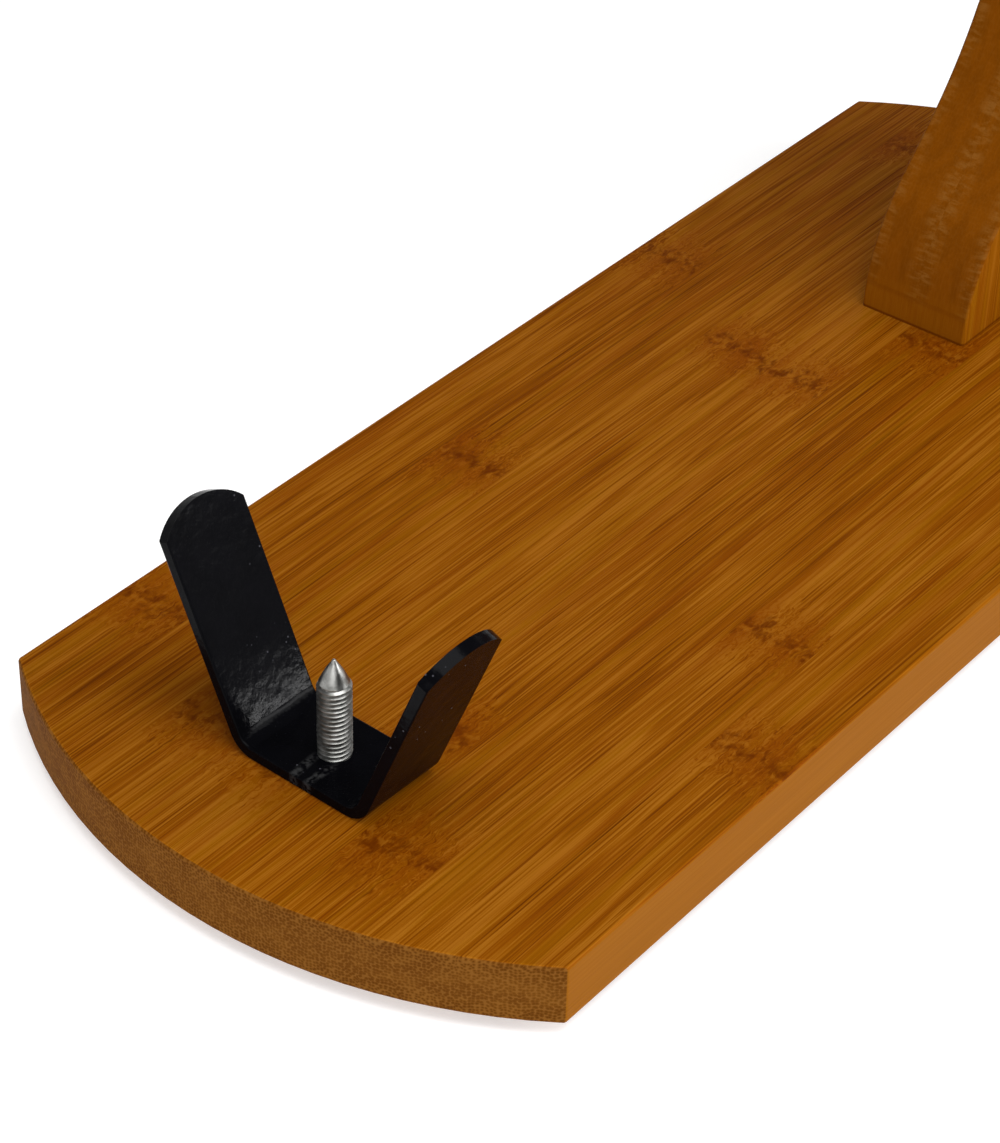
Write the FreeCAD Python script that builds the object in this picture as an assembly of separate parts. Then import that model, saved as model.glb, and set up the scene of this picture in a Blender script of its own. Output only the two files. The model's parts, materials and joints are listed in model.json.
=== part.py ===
import FreeCAD
import Part
import math
import os

# Ham holder stand, in millimetres. X runs along the board from the spiked rest
# (-X) to the post (+X), Y across it, Z up. The origin is under the middle of the
# board, on the surface that the rubber feet stand on.

# Board
BOARD_LENGTH = 400.0
BOARD_WIDTH = 160.0
BOARD_THICK = 16.0
END_BULGE = 26.0
BOARD_ROUND = 0.8
CORNER_ROUND = 1.2

# Rubber feet and their screws
FOOT_HEIGHT = 4.0
FOOT_RADIUS = 9.0
FOOT_TAPER = 0.8
FOOT_X = 148.0
FOOT_Y = 60.0
FOOT_RECESS_RADIUS = 4.6
FOOT_RECESS_DEPTH = 2.4
FOOT_SCREW_RADIUS = 1.75
FOOT_SCREW_LENGTH = 11.0
FOOT_SCREW_HEAD = (3.9, 1.9)
FOOT_SCREW_POINT = 3.0
FOOT_HOLE_PLAY = 0.2
FOOT_HOLE_SPARE_DEPTH = 0.5

# Forked rest: one strip of steel with a flat base and two flared arms
STRIP_WIDTH = 24.0
STRIP_THICK = 3.0
STRIP_ROUND = 0.45
REST_X = -155.0
REST_TURN = -1.8
REST_HALF_BASE = 18.65
REST_BEND_RADIUS = 7.0
REST_ARMS = ((1, 24.9, 51.7), (-1, 21.6, 50.4))
ARM_CROWN = 5.5

# Spike: a pointed M8 stud, with a washer and a nut let into the board's underside
STUD_RADIUS = 4.0
STUD_ROOT_RADIUS = 3.5
STUD_THREAD_ABOVE = 19.8
SPIKE_POINT = 6.2
SPIKE_TIP_RADIUS = 0.5
STUD_PIT_RADIUS = 12.0
STUD_PIT_DEPTH = 9.5
STUD_WASHER = (10.0, 4.25, 1.6)
STUD_NUT_ACROSS = 13.0
STUD_NUT_HEIGHT = 6.5
NUT_CHAMFER_SHARE = 0.8
STUD_BELOW_NUT = 0.6
STUD_CHAMFER = 0.6
STUD_HOLE_PLAY = 0.25
THREAD_PLAY = 0.05

# Post: two curved plies glued side by side
PLY_THICK = 16.0
PLY_ROUND = 1.0
TOE_X = 79.6
TOE_RISE = 2.0
TOE_RADIUS = 45.0
TOE_LEAN = 44.0
TOE_STRAIGHT = 15.0
HOLLOW_RADIUS = 110.0
TIP_LEAN = 42.0
TIP_DEPTH = 38.0
HEEL_X = 150.0
BACK_MIDDLE = (181.0, 110.0)

# What holds the post down: screws and dowels from below, one row in each ply
PLY_ROWS = (-8.0, 8.0)
POST_SCREW_XS = (98.0, 134.0)
POST_SCREW_DEPTH = 26.0
POST_PIT_RADIUS = 7.0
POST_PIT_DEPTH = 5.5
DOWEL_X = 116.0
DOWEL_RADIUS = 4.0
DOWEL_REACH = (10.0, 12.0)
DOWEL_PLAY = 0.3
DOWEL_CHAMFER = 0.8

# Pan head wood screws and their washers
WOOD_SCREW_RADIUS = 2.5
WOOD_SCREW_HEAD = (4.75, 2.9)
WOOD_SCREW_POINT = 5.0
WOOD_SCREW_TIP_RADIUS = 0.3
WOOD_SCREW_HEAD_ROUND = 0.55
WOOD_WASHER = (5.5, 2.6, 1.0)
SLOT_WIDTH = 1.0
SLOT_DEPTH = 1.2
HOLE_PLAY = 0.05
BOARD_HOLE_PLAY = 0.1
HOLE_SPARE_DEPTH = 1.0

# Hoof ring, in a frame of its own: Z out of the post's sloping end, X along the ham
RING_OUTER = 45.0
RING_CENTRE = 42.0
RING_SCREW_DEPTH = 28.0
RING_SCREW_PLAY = 0.25
RING_HOLE_PLAY = 0.5
BOSS_RADIUS = 8.0
BOSS_HEIGHT = 10.0
BOSS_CHAMFER = 1.0

# Clamp screw with its swivelling pad, half way along its travel
CLAMP_TRAVEL = 17.0
PAD_GAP = 1.0
PAD_HEIGHT = 9.0
PAD_RADIUS = 12.0
PAD_PLATE = 3.5
PAD_PLATE_ROUND = 0.8
PAD_COLLAR_RADIUS = 6.5
PAD_COLLAR_ROUND = 1.6
PAD_FACE = 3.0
PAD_FACE_ROUND = 1.0
BALL_RADIUS = 3.5
BALL_BELOW_TOP = 4.5
BALL_PLAY = 0.25
NECK_RADIUS = 2.2
NECK_LENGTH = 3.0
SCREW_CHAMFER = 0.8
KNOB_STOP_GAP = 0.5
LOCK_NUT_HEIGHT = 4.0

# Knob
KNOB_RADIUS = 20.0
KNOB_HEIGHT = 20.0
KNOB_SKIRT = 5.0
KNOB_HUB_RADIUS = 10.0
KNOB_HUB_TAPER = 1.0
KNOB_HUB_OVERLAP = 1.0
KNOB_LOBES = 6
KNOB_SCALLOP = 7.5
KNOB_SCALLOP_AT = 23.5
KNOB_ROUND = 1.6
KNOB_LOBE_ROUND = 3.2
INSERT_RADIUS = 6.0
INSERT_LENGTH = 14.0
INSERT_END_GAP = 1.0

# Shorter than any edge of the parts: tells equal heights from different ones
TOUCH = 1e-6

BOARD_BOTTOM = FOOT_HEIGHT
BOARD_TOP = BOARD_BOTTOM + BOARD_THICK
RING_INNER = RING_OUTER - STRIP_THICK
RING_TOP = RING_CENTRE + RING_OUTER
PAD_TOP = RING_CENTRE + RING_INNER - PAD_GAP - CLAMP_TRAVEL
LOCK_NUT_BOTTOM = RING_TOP + BOSS_HEIGHT + KNOB_STOP_GAP + CLAMP_TRAVEL
KNOB_BOTTOM = LOCK_NUT_BOTTOM + LOCK_NUT_HEIGHT

X_AXIS = FreeCAD.Vector(1, 0, 0)
Y_AXIS = FreeCAD.Vector(0, 1, 0)
Z_AXIS = FreeCAD.Vector(0, 0, 1)


def vector(x, y, z):
    return FreeCAD.Vector(x, y, z)


def rod(radius, bottom, top, x=0.0, y=0.0):
    return Part.makeCylinder(radius, top - bottom, vector(x, y, bottom))


def tube(outer, inner, bottom, top, x=0.0, y=0.0):
    return rod(outer, bottom, top, x, y).cut(rod(inner, bottom, top, x, y))


def turned(shape, axis, degrees, centre=FreeCAD.Vector(0, 0, 0)):
    copy = shape.copy()
    copy.rotate(centre, axis, degrees)
    return copy


def moved(shape, x, y, z):
    copy = shape.copy()
    copy.translate(vector(x, y, z))
    return copy


def round_edges(shape):
    """The edges that go all the way round without a corner."""
    return [edge for edge in shape.Edges if len(edge.Vertexes) == 1]


def save(node, *solids):
    shape = solids[0] if len(solids) == 1 else Part.makeCompound(list(solids))
    shape.exportStep("parts/" + node + ".step")


def hex_nut(across, height, bore, bottom):
    corner = across / math.sqrt(3.0)
    points = []
    for side in range(7):
        angle = math.radians(60.0 * side)
        points.append(vector(corner * math.cos(angle), corner * math.sin(angle), bottom))
    prism = Part.Face(Part.makePolygon(points)).extrude(Z_AXIS * height)
    chamfer = corner - across / 2.0
    barrel = rod(corner, bottom, bottom + height)
    barrel = barrel.makeChamfer(chamfer * NUT_CHAMFER_SHARE, round_edges(barrel))
    return prism.common(barrel).cut(rod(bore, bottom, bottom + height))


def pan_screw(radius, head, shank_length, point):
    """A wood screw that points up, with the underside of its head at Z = 0."""
    head_radius, head_height = head
    cap = rod(head_radius, -head_height, 0.0)
    rim = [e for e in cap.Edges if abs(e.BoundBox.ZMax + head_height) < TOUCH]
    cap = cap.makeFillet(head_height * WOOD_SCREW_HEAD_ROUND, rim)
    for angle in (0.0, 90.0):
        slot = Part.makeBox(head_radius, SLOT_WIDTH, SLOT_DEPTH)
        slot.translate(vector(-head_radius / 2.0, -SLOT_WIDTH / 2.0, -head_height))
        cap = cap.cut(turned(slot, Z_AXIS, angle))
    shank = rod(radius, 0.0, shank_length - point)
    shoulder = vector(0, 0, shank_length - point)
    tip = Part.makeCone(radius, WOOD_SCREW_TIP_RADIUS, point, shoulder)
    return cap.fuse([shank, tip]).removeSplitter()


def on_tip(shape):
    """Takes a shape from the post's end frame to its place on the stand."""
    placed = turned(shape, Y_AXIS, -TIP_LEAN)
    placed.translate(tip_centre())
    return placed


# Post profile

def polar(radius, degrees):
    angle = math.radians(degrees)
    return vector(radius * math.cos(angle), 0, radius * math.sin(angle))


def front_points():
    """Corners of the front outline from the toe up, and a point inside each arc."""
    foot = vector(TOE_X, 0, BOARD_TOP)
    rise = foot + Z_AXIS * TOE_RISE
    toe_centre = rise + X_AXIS * TOE_RADIUS
    toe_middle = toe_centre + polar(TOE_RADIUS, 180.0 - TOE_LEAN / 2.0)
    toe_end = toe_centre + polar(TOE_RADIUS, 180.0 - TOE_LEAN)
    hollow_start = toe_end + polar(TOE_STRAIGHT, 90.0 - TOE_LEAN)
    hollow_centre = hollow_start + polar(HOLLOW_RADIUS, 180.0 - TOE_LEAN)
    hollow_middle = hollow_centre + polar(HOLLOW_RADIUS, (TIP_LEAN - TOE_LEAN) / 2.0)
    tip_front = hollow_centre + polar(HOLLOW_RADIUS, TIP_LEAN)
    return foot, rise, toe_middle, toe_end, hollow_start, hollow_middle, tip_front


def tip_centre():
    return front_points()[-1] + polar(TIP_DEPTH / 2.0, TIP_LEAN)


def post_outline():
    foot, rise, toe_middle, toe_end, hollow_start, hollow_middle, tip_front = front_points()
    tip_back = tip_front + polar(TIP_DEPTH, TIP_LEAN)
    back_middle = vector(BACK_MIDDLE[0], 0, BOARD_TOP + BACK_MIDDLE[1])
    heel = vector(HEEL_X, 0, BOARD_TOP)
    edges = [
        Part.makeLine(foot, rise),
        Part.Arc(rise, toe_middle, toe_end).toShape(),
        Part.makeLine(toe_end, hollow_start),
        Part.Arc(hollow_start, hollow_middle, tip_front).toShape(),
        Part.makeLine(tip_front, tip_back),
        Part.Arc(tip_back, back_middle, heel).toShape(),
        Part.makeLine(heel, foot),
    ]
    return Part.Wire(edges)


def ring_screw_hole(y):
    bottom = -RING_SCREW_DEPTH - HOLE_SPARE_DEPTH
    return on_tip(rod(WOOD_SCREW_RADIUS + HOLE_PLAY, bottom, HOLE_SPARE_DEPTH, 0.0, y))


def post_ply(side):
    """side is 1 for the +Y ply and -1 for the -Y ply."""
    ply = Part.Face(post_outline()).extrude(Y_AXIS * side * PLY_THICK)
    outer = side * PLY_THICK
    rounded = []
    for edge in ply.Edges:
        box = edge.BoundBox
        on_outer_face = abs(box.YMin - outer) < TOUCH and abs(box.YMax - outer) < TOUCH
        if on_outer_face and box.ZMax > BOARD_TOP + TOUCH:
            rounded.append(edge)
    ply = ply.makeFillet(PLY_ROUND, rounded)
    row = side * abs(PLY_ROWS[0])
    top = BOARD_TOP + POST_SCREW_DEPTH + HOLE_SPARE_DEPTH
    for x in POST_SCREW_XS:
        ply = ply.cut(rod(WOOD_SCREW_RADIUS + HOLE_PLAY, BOARD_TOP, top, x, row))
    dowel_top = BOARD_TOP + DOWEL_REACH[1]
    ply = ply.cut(rod(DOWEL_RADIUS + HOLE_PLAY, BOARD_TOP, dowel_top, DOWEL_X, row))
    return ply.cut(ring_screw_hole(row))


# Base

def foot_places():
    return [(x, y) for x in (-FOOT_X, FOOT_X) for y in (FOOT_Y, -FOOT_Y)]


def post_screw_places():
    return [(x, y) for x in POST_SCREW_XS for y in PLY_ROWS]


def board_blank():
    end = BOARD_LENGTH / 2.0
    corner = end - END_BULGE
    side = BOARD_WIDTH / 2.0
    z = BOARD_BOTTOM
    post_right = vector(corner, -side, z)
    post_left = vector(corner, side, z)
    rest_right = vector(-corner, -side, z)
    rest_left = vector(-corner, side, z)
    edges = [
        Part.makeLine(rest_right, post_right),
        Part.Arc(post_right, vector(end, 0, z), post_left).toShape(),
        Part.makeLine(post_left, rest_left),
        Part.Arc(rest_left, vector(-end, 0, z), rest_right).toShape(),
    ]
    blank = Part.Face(Part.Wire(edges)).extrude(Z_AXIS * BOARD_THICK)
    corners = [e for e in blank.Edges if e.BoundBox.ZLength > BOARD_THICK / 2.0]
    blank = blank.makeFillet(CORNER_ROUND, corners)
    rims = [e for e in blank.Edges if e.BoundBox.ZLength < TOUCH]
    return blank.makeFillet(BOARD_ROUND, rims)


def base_board():
    board = board_blank()
    holes = [
        rod(STUD_RADIUS + STUD_HOLE_PLAY, BOARD_BOTTOM, BOARD_TOP, REST_X),
        rod(STUD_PIT_RADIUS, BOARD_BOTTOM, BOARD_BOTTOM + STUD_PIT_DEPTH, REST_X),
    ]
    pit_top = BOARD_BOTTOM + POST_PIT_DEPTH
    for x, y in post_screw_places():
        holes.append(rod(WOOD_SCREW_RADIUS + BOARD_HOLE_PLAY, BOARD_BOTTOM, BOARD_TOP, x, y))
        holes.append(rod(POST_PIT_RADIUS, BOARD_BOTTOM, pit_top, x, y))
    dowel_bottom = BOARD_TOP - DOWEL_REACH[0]
    for y in PLY_ROWS:
        holes.append(rod(DOWEL_RADIUS + HOLE_PLAY, dowel_bottom, BOARD_TOP, DOWEL_X, y))
    top = FOOT_RECESS_DEPTH + FOOT_SCREW_LENGTH + FOOT_HOLE_SPARE_DEPTH
    for x, y in foot_places():
        holes.append(rod(FOOT_SCREW_RADIUS + HOLE_PLAY, BOARD_BOTTOM, top, x, y))
    return board.cut(holes)


def rubber_foot(x, y):
    foot = Part.makeCone(FOOT_RADIUS - FOOT_TAPER, FOOT_RADIUS, FOOT_HEIGHT, vector(x, y, 0))
    recess = rod(FOOT_RECESS_RADIUS, 0.0, FOOT_RECESS_DEPTH, x, y)
    hole = rod(FOOT_SCREW_RADIUS + FOOT_HOLE_PLAY, 0.0, FOOT_HEIGHT, x, y)
    return foot.cut([recess, hole])


def foot_screws():
    screw = pan_screw(FOOT_SCREW_RADIUS, FOOT_SCREW_HEAD, FOOT_SCREW_LENGTH, FOOT_SCREW_POINT)
    return [moved(screw, x, y, FOOT_RECESS_DEPTH) for x, y in foot_places()]


def post_screws():
    washer_top = BOARD_BOTTOM + POST_PIT_DEPTH
    seat = washer_top - WOOD_WASHER[2]
    length = BOARD_TOP + POST_SCREW_DEPTH - seat
    screw = pan_screw(WOOD_SCREW_RADIUS, WOOD_SCREW_HEAD, length, WOOD_SCREW_POINT)
    return [moved(screw, x, y, seat) for x, y in post_screw_places()]


def post_screw_washers():
    outer, inner, thick = WOOD_WASHER
    top = BOARD_BOTTOM + POST_PIT_DEPTH
    return [tube(outer, inner, top - thick, top, x, y) for x, y in post_screw_places()]


def post_dowels():
    bottom = BOARD_TOP - DOWEL_REACH[0] + DOWEL_PLAY
    top = BOARD_TOP + DOWEL_REACH[1] - DOWEL_PLAY
    dowels = []
    for y in PLY_ROWS:
        dowel = rod(DOWEL_RADIUS, bottom, top, DOWEL_X, y)
        dowels.append(dowel.makeChamfer(DOWEL_CHAMFER, round_edges(dowel)))
    return dowels


# Forked rest and spike

def arm_frame(side, flare):
    """Where the arm's outer face would meet the base, and the arm's two directions."""
    angle = math.radians(flare)
    corner = vector(0, side * REST_HALF_BASE, 0)
    along = vector(0, side * math.sin(angle), math.cos(angle))
    inward = vector(0, -side * math.cos(angle), math.sin(angle))
    return corner, along, inward


def rest_half(side, flare, length):
    """The outline of one half of the strip: outer points going out, inner coming back."""
    corner, along, inward = arm_frame(side, flare)
    inner_radius = REST_BEND_RADIUS - STRIP_THICK
    setback = REST_BEND_RADIUS * math.tan(math.radians(90.0 - flare) / 2.0)
    centre = vector(0, corner.y - side * setback, REST_BEND_RADIUS)
    middle = (vector(0, 0, -1) - inward).normalize()
    end = corner + along * (length + ARM_CROWN)
    outer = [
        centre - Z_AXIS * REST_BEND_RADIUS,
        centre + middle * REST_BEND_RADIUS,
        centre - inward * REST_BEND_RADIUS,
        end,
    ]
    inner = [
        end + inward * STRIP_THICK,
        centre - inward * inner_radius,
        centre + middle * inner_radius,
        centre - Z_AXIS * inner_radius,
    ]
    return outer, inner


def half_edges(outer, inner):
    return [
        Part.Arc(outer[0], outer[1], outer[2]).toShape(),
        Part.makeLine(outer[2], outer[3]),
        Part.makeLine(outer[3], inner[0]),
        Part.makeLine(inner[0], inner[1]),
        Part.Arc(inner[1], inner[2], inner[3]).toShape(),
    ]


def crown_cutter(side, flare, length):
    """What is cut off an arm's square end to leave its crowned one."""
    corner, along, inward = arm_frame(side, flare)
    half = STRIP_WIDTH / 2.0
    radius = (half * half + ARM_CROWN * ARM_CROWN) / (2.0 * ARM_CROWN)
    start = corner - inward * STRIP_THICK
    left = start + along * length - X_AXIS * half
    right = start + along * length + X_AXIS * half
    top = start + along * (length + ARM_CROWN)
    beyond = along * (2.0 * radius)
    edges = [
        Part.Arc(left, top, right).toShape(),
        Part.makeLine(right, right + X_AXIS),
        Part.makeLine(right + X_AXIS, right + X_AXIS + beyond),
        Part.makeLine(right + X_AXIS + beyond, left - X_AXIS + beyond),
        Part.makeLine(left - X_AXIS + beyond, left - X_AXIS),
        Part.makeLine(left - X_AXIS, left),
    ]
    return Part.Face(Part.Wire(edges)).extrude(inward * 3.0 * STRIP_THICK)


def front_rest_bracket():
    (outer_a, inner_a), (outer_b, inner_b) = [rest_half(*arm) for arm in REST_ARMS]
    edges = half_edges(outer_a, inner_a) + half_edges(outer_b, inner_b)
    edges.append(Part.makeLine(outer_a[0], outer_b[0]))
    edges.append(Part.makeLine(inner_a[3], inner_b[3]))
    wire = Part.Wire(Part.__sortEdges__(edges))
    strip = Part.Face(wire).extrude(X_AXIS * STRIP_WIDTH)
    strip = moved(strip, -STRIP_WIDTH / 2.0, 0, 0)
    strip = strip.cut([crown_cutter(*arm) for arm in REST_ARMS])
    rims = []
    shortest_arm = min(arm[2] for arm in REST_ARMS)
    for edge in strip.Edges:
        box = edge.BoundBox
        on_long_side = box.XLength < TOUCH and abs(abs(box.XMin) - STRIP_WIDTH / 2.0) < TOUCH
        on_crown = box.XLength > STRIP_WIDTH / 2.0 and box.ZMin > shortest_arm / 2.0
        if (on_long_side or on_crown) and edge.Length > STRIP_THICK + STRIP_ROUND:
            rims.append(edge)
    strip = strip.makeFillet(STRIP_ROUND, rims)
    strip = strip.cut(rod(STUD_RADIUS + THREAD_PLAY, 0.0, STRIP_THICK))
    strip = turned(strip, Z_AXIS, REST_TURN)
    return moved(strip, REST_X, 0, BOARD_TOP)


def stud_levels():
    """Heights of the nut's underside, its top and the washer's top."""
    washer_top = BOARD_BOTTOM + STUD_PIT_DEPTH
    nut_top = washer_top - STUD_WASHER[2]
    return nut_top - STUD_NUT_HEIGHT, nut_top, washer_top


def spike_stud():
    bottom = stud_levels()[0] - STUD_BELOW_NUT
    shoulder = BOARD_TOP + STRIP_THICK + STUD_THREAD_ABOVE
    shank = rod(STUD_RADIUS, bottom, shoulder)
    shank = shank.makeChamfer(STUD_CHAMFER, round_edges(shank))
    base = vector(0, 0, shoulder)
    point = Part.makeCone(STUD_ROOT_RADIUS, SPIKE_TIP_RADIUS, SPIKE_POINT, base)
    return moved(shank.fuse(point).removeSplitter(), REST_X, 0, 0)


def spike_washer():
    top = stud_levels()[2]
    outer, inner, thick = STUD_WASHER
    return tube(outer, inner, top - thick, top, REST_X)


def spike_nut():
    bore = STUD_RADIUS + THREAD_PLAY
    nut = hex_nut(STUD_NUT_ACROSS, STUD_NUT_HEIGHT, bore, stud_levels()[0])
    return moved(nut, REST_X, 0, 0)


# Hoof ring, all in the post's end frame

def flatted_disc(radius, flat_z, width):
    """A disc across Y and Z with its foot cut off flat at flat_z."""
    disc = Part.makeCylinder(radius, width, vector(-width / 2.0, 0, RING_CENTRE), X_AXIS)
    block = Part.makeBox(width, 4.0 * radius, 4.0 * radius)
    block.translate(vector(-width / 2.0, -2.0 * radius, flat_z))
    return disc.common(block)


def hoof_ring():
    ring = flatted_disc(RING_OUTER, 0.0, STRIP_WIDTH)
    ring = ring.cut(flatted_disc(RING_INNER, STRIP_THICK, STRIP_WIDTH))
    rims = [e for e in ring.Edges if e.BoundBox.XLength < TOUCH]
    ring = ring.makeFillet(STRIP_ROUND, rims)
    for y in PLY_ROWS:
        ring = ring.cut(rod(WOOD_SCREW_RADIUS + RING_SCREW_PLAY, 0.0, STRIP_THICK, 0.0, y))
    return ring.cut(rod(STUD_RADIUS + RING_HOLE_PLAY, RING_CENTRE, RING_TOP))


def clamp_boss():
    boss = rod(BOSS_RADIUS, RING_TOP - STRIP_THICK, RING_TOP + BOSS_HEIGHT)
    rim = [e for e in round_edges(boss) if e.BoundBox.ZMin > RING_TOP]
    boss = boss.makeChamfer(BOSS_CHAMFER, rim)
    reach = 2.0 * BOSS_RADIUS
    saddle = Part.makeCylinder(RING_OUTER, 2.0 * reach, vector(-reach, 0, RING_CENTRE), X_AXIS)
    bore = rod(STUD_RADIUS + THREAD_PLAY, RING_CENTRE, RING_TOP + BOSS_HEIGHT)
    return boss.cut([saddle, bore])


def ring_screws():
    seat = STRIP_THICK + WOOD_WASHER[2]
    length = seat + RING_SCREW_DEPTH
    screw = pan_screw(WOOD_SCREW_RADIUS, WOOD_SCREW_HEAD, length, WOOD_SCREW_POINT)
    screw = turned(screw, X_AXIS, 180.0)
    return [moved(screw, 0, y, seat) for y in PLY_ROWS]


def ring_washers():
    outer, inner, thick = WOOD_WASHER
    return [tube(outer, inner, STRIP_THICK, STRIP_THICK + thick, 0.0, y) for y in PLY_ROWS]


# Clamp screw, pad and knob, in the same frame

def ball_centre():
    return PAD_TOP - BALL_BELOW_TOP


def clamp_screw():
    ball = Part.makeSphere(BALL_RADIUS, vector(0, 0, ball_centre()))
    neck = rod(NECK_RADIUS, ball_centre(), PAD_TOP + NECK_LENGTH)
    top = KNOB_BOTTOM + INSERT_LENGTH - INSERT_END_GAP
    shank = rod(STUD_RADIUS, PAD_TOP + NECK_LENGTH, top)
    shank = shank.makeChamfer(SCREW_CHAMFER, round_edges(shank))
    return shank.fuse([neck, ball]).removeSplitter()


def pressure_pad():
    bottom = PAD_TOP - PAD_HEIGHT
    plate = rod(PAD_RADIUS, bottom, bottom + PAD_PLATE)
    plate = plate.makeFillet(PAD_PLATE_ROUND, round_edges(plate))
    collar = rod(PAD_COLLAR_RADIUS, bottom + PAD_PLATE / 2.0, PAD_TOP)
    rim = [e for e in round_edges(collar) if e.BoundBox.ZMin > bottom + PAD_PLATE]
    collar = collar.makeFillet(PAD_COLLAR_ROUND, rim)
    socket = Part.makeSphere(BALL_RADIUS + BALL_PLAY, vector(0, 0, ball_centre()))
    throat = rod(NECK_RADIUS + BALL_PLAY, ball_centre(), PAD_TOP)
    return plate.fuse(collar).removeSplitter().cut([socket, throat])


def pad_face():
    top = PAD_TOP - PAD_HEIGHT
    face = rod(PAD_RADIUS, top - PAD_FACE, top)
    rim = [e for e in round_edges(face) if e.BoundBox.ZMax < top - PAD_FACE / 2.0]
    return face.makeFillet(PAD_FACE_ROUND, rim)


def knob_lock_nut():
    bore = STUD_RADIUS + THREAD_PLAY
    return hex_nut(STUD_NUT_ACROSS, LOCK_NUT_HEIGHT, bore, LOCK_NUT_BOTTOM)


def knob_insert():
    top = KNOB_BOTTOM + INSERT_LENGTH
    return tube(INSERT_RADIUS, STUD_RADIUS + THREAD_PLAY, KNOB_BOTTOM, top)


def clamp_knob():
    lobed = rod(KNOB_RADIUS, KNOB_BOTTOM + KNOB_SKIRT, KNOB_BOTTOM + KNOB_HEIGHT)
    scallops = []
    for lobe in range(KNOB_LOBES):
        angle = 2.0 * math.pi * lobe / KNOB_LOBES
        x = KNOB_SCALLOP_AT * math.cos(angle)
        y = KNOB_SCALLOP_AT * math.sin(angle)
        scallops.append(rod(KNOB_SCALLOP, KNOB_BOTTOM, KNOB_BOTTOM + KNOB_HEIGHT, x, y))
    lobed = lobed.cut(scallops)
    uprights = [e for e in lobed.Edges if e.BoundBox.ZLength > KNOB_ROUND]
    lobed = lobed.makeFillet(KNOB_LOBE_ROUND, uprights)
    rims = [e for e in lobed.Edges if e.BoundBox.ZLength < TOUCH]
    lobed = lobed.makeFillet(KNOB_ROUND, rims)
    hub_foot = KNOB_HUB_RADIUS - KNOB_HUB_TAPER
    hub_height = KNOB_SKIRT + KNOB_HUB_OVERLAP
    hub = Part.makeCone(hub_foot, KNOB_HUB_RADIUS, hub_height, vector(0, 0, KNOB_BOTTOM))
    pocket = rod(INSERT_RADIUS, KNOB_BOTTOM, KNOB_BOTTOM + INSERT_LENGTH)
    return lobed.fuse(hub).removeSplitter().cut(pocket)


def save_base():
    save("base_board", base_board())
    names = ("foot_rest_left", "foot_rest_right", "foot_post_left", "foot_post_right")
    for name, (x, y) in zip(names, foot_places()):
        save(name, rubber_foot(x, y))
    save("foot_screws", *foot_screws())
    save("post_ply_left", post_ply(1))
    save("post_ply_right", post_ply(-1))
    save("post_dowels", *post_dowels())
    save("post_screws", *post_screws())
    save("post_screw_washers", *post_screw_washers())


def save_rest():
    save("front_rest_bracket", front_rest_bracket())
    save("spike_stud", spike_stud())
    save("spike_washer", spike_washer())
    save("spike_nut", spike_nut())


def save_hoof_ring():
    save("hoof_ring", on_tip(hoof_ring()))
    save("clamp_boss", on_tip(clamp_boss()))
    save("ring_screws", *[on_tip(screw) for screw in ring_screws()])
    save("ring_washers", *[on_tip(washer) for washer in ring_washers()])


def save_clamp():
    save("clamp_screw", on_tip(clamp_screw()))
    save("pressure_pad", on_tip(pressure_pad()))
    save("pad_face", on_tip(pad_face()))
    save("knob_lock_nut", on_tip(knob_lock_nut()))
    save("knob_insert", on_tip(knob_insert()))
    save("clamp_knob", on_tip(clamp_knob()))


os.makedirs("parts", exist_ok=True)
save_base()
save_rest()
save_hoof_ring()
save_clamp()
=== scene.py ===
import json
import math

import bmesh
import bpy
from mathutils import Matrix, Vector


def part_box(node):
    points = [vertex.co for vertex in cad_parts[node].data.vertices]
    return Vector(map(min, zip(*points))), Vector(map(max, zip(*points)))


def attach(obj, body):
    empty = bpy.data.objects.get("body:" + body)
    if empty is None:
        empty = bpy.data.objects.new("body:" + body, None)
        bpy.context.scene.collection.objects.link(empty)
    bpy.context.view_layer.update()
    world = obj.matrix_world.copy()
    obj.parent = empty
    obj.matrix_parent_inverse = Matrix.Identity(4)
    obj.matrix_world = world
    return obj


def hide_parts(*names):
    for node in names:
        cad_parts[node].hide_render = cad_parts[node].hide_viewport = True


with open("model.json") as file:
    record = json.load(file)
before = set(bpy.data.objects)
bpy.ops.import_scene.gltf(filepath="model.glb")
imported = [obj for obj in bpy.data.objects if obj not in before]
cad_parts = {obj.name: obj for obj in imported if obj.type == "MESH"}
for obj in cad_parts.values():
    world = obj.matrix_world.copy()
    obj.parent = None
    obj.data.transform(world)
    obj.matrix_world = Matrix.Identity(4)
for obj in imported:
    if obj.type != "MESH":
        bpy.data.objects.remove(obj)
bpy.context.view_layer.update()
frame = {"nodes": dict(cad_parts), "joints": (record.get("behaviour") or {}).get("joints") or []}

MM = 0.001

# Camera, in the part's own frame: metres and degrees
CAMERA_AT = Vector((-0.57285, -0.36809, 0.49211))
CAMERA_HEADING = 37.73
CAMERA_DOWN = 36.96
CAMERA_ROLL = 1.53
CAMERA_LENS = 103.4
CAMERA_SENSOR = 36.0
CAMERA_NEAREST = 0.01

# Studio: the floor's half width, the height of the walls round it, and the light all round
FLOOR_REACH = 8.0
WALL_HEIGHT = 5.0
WORLD_LIGHT = 0.12

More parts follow.
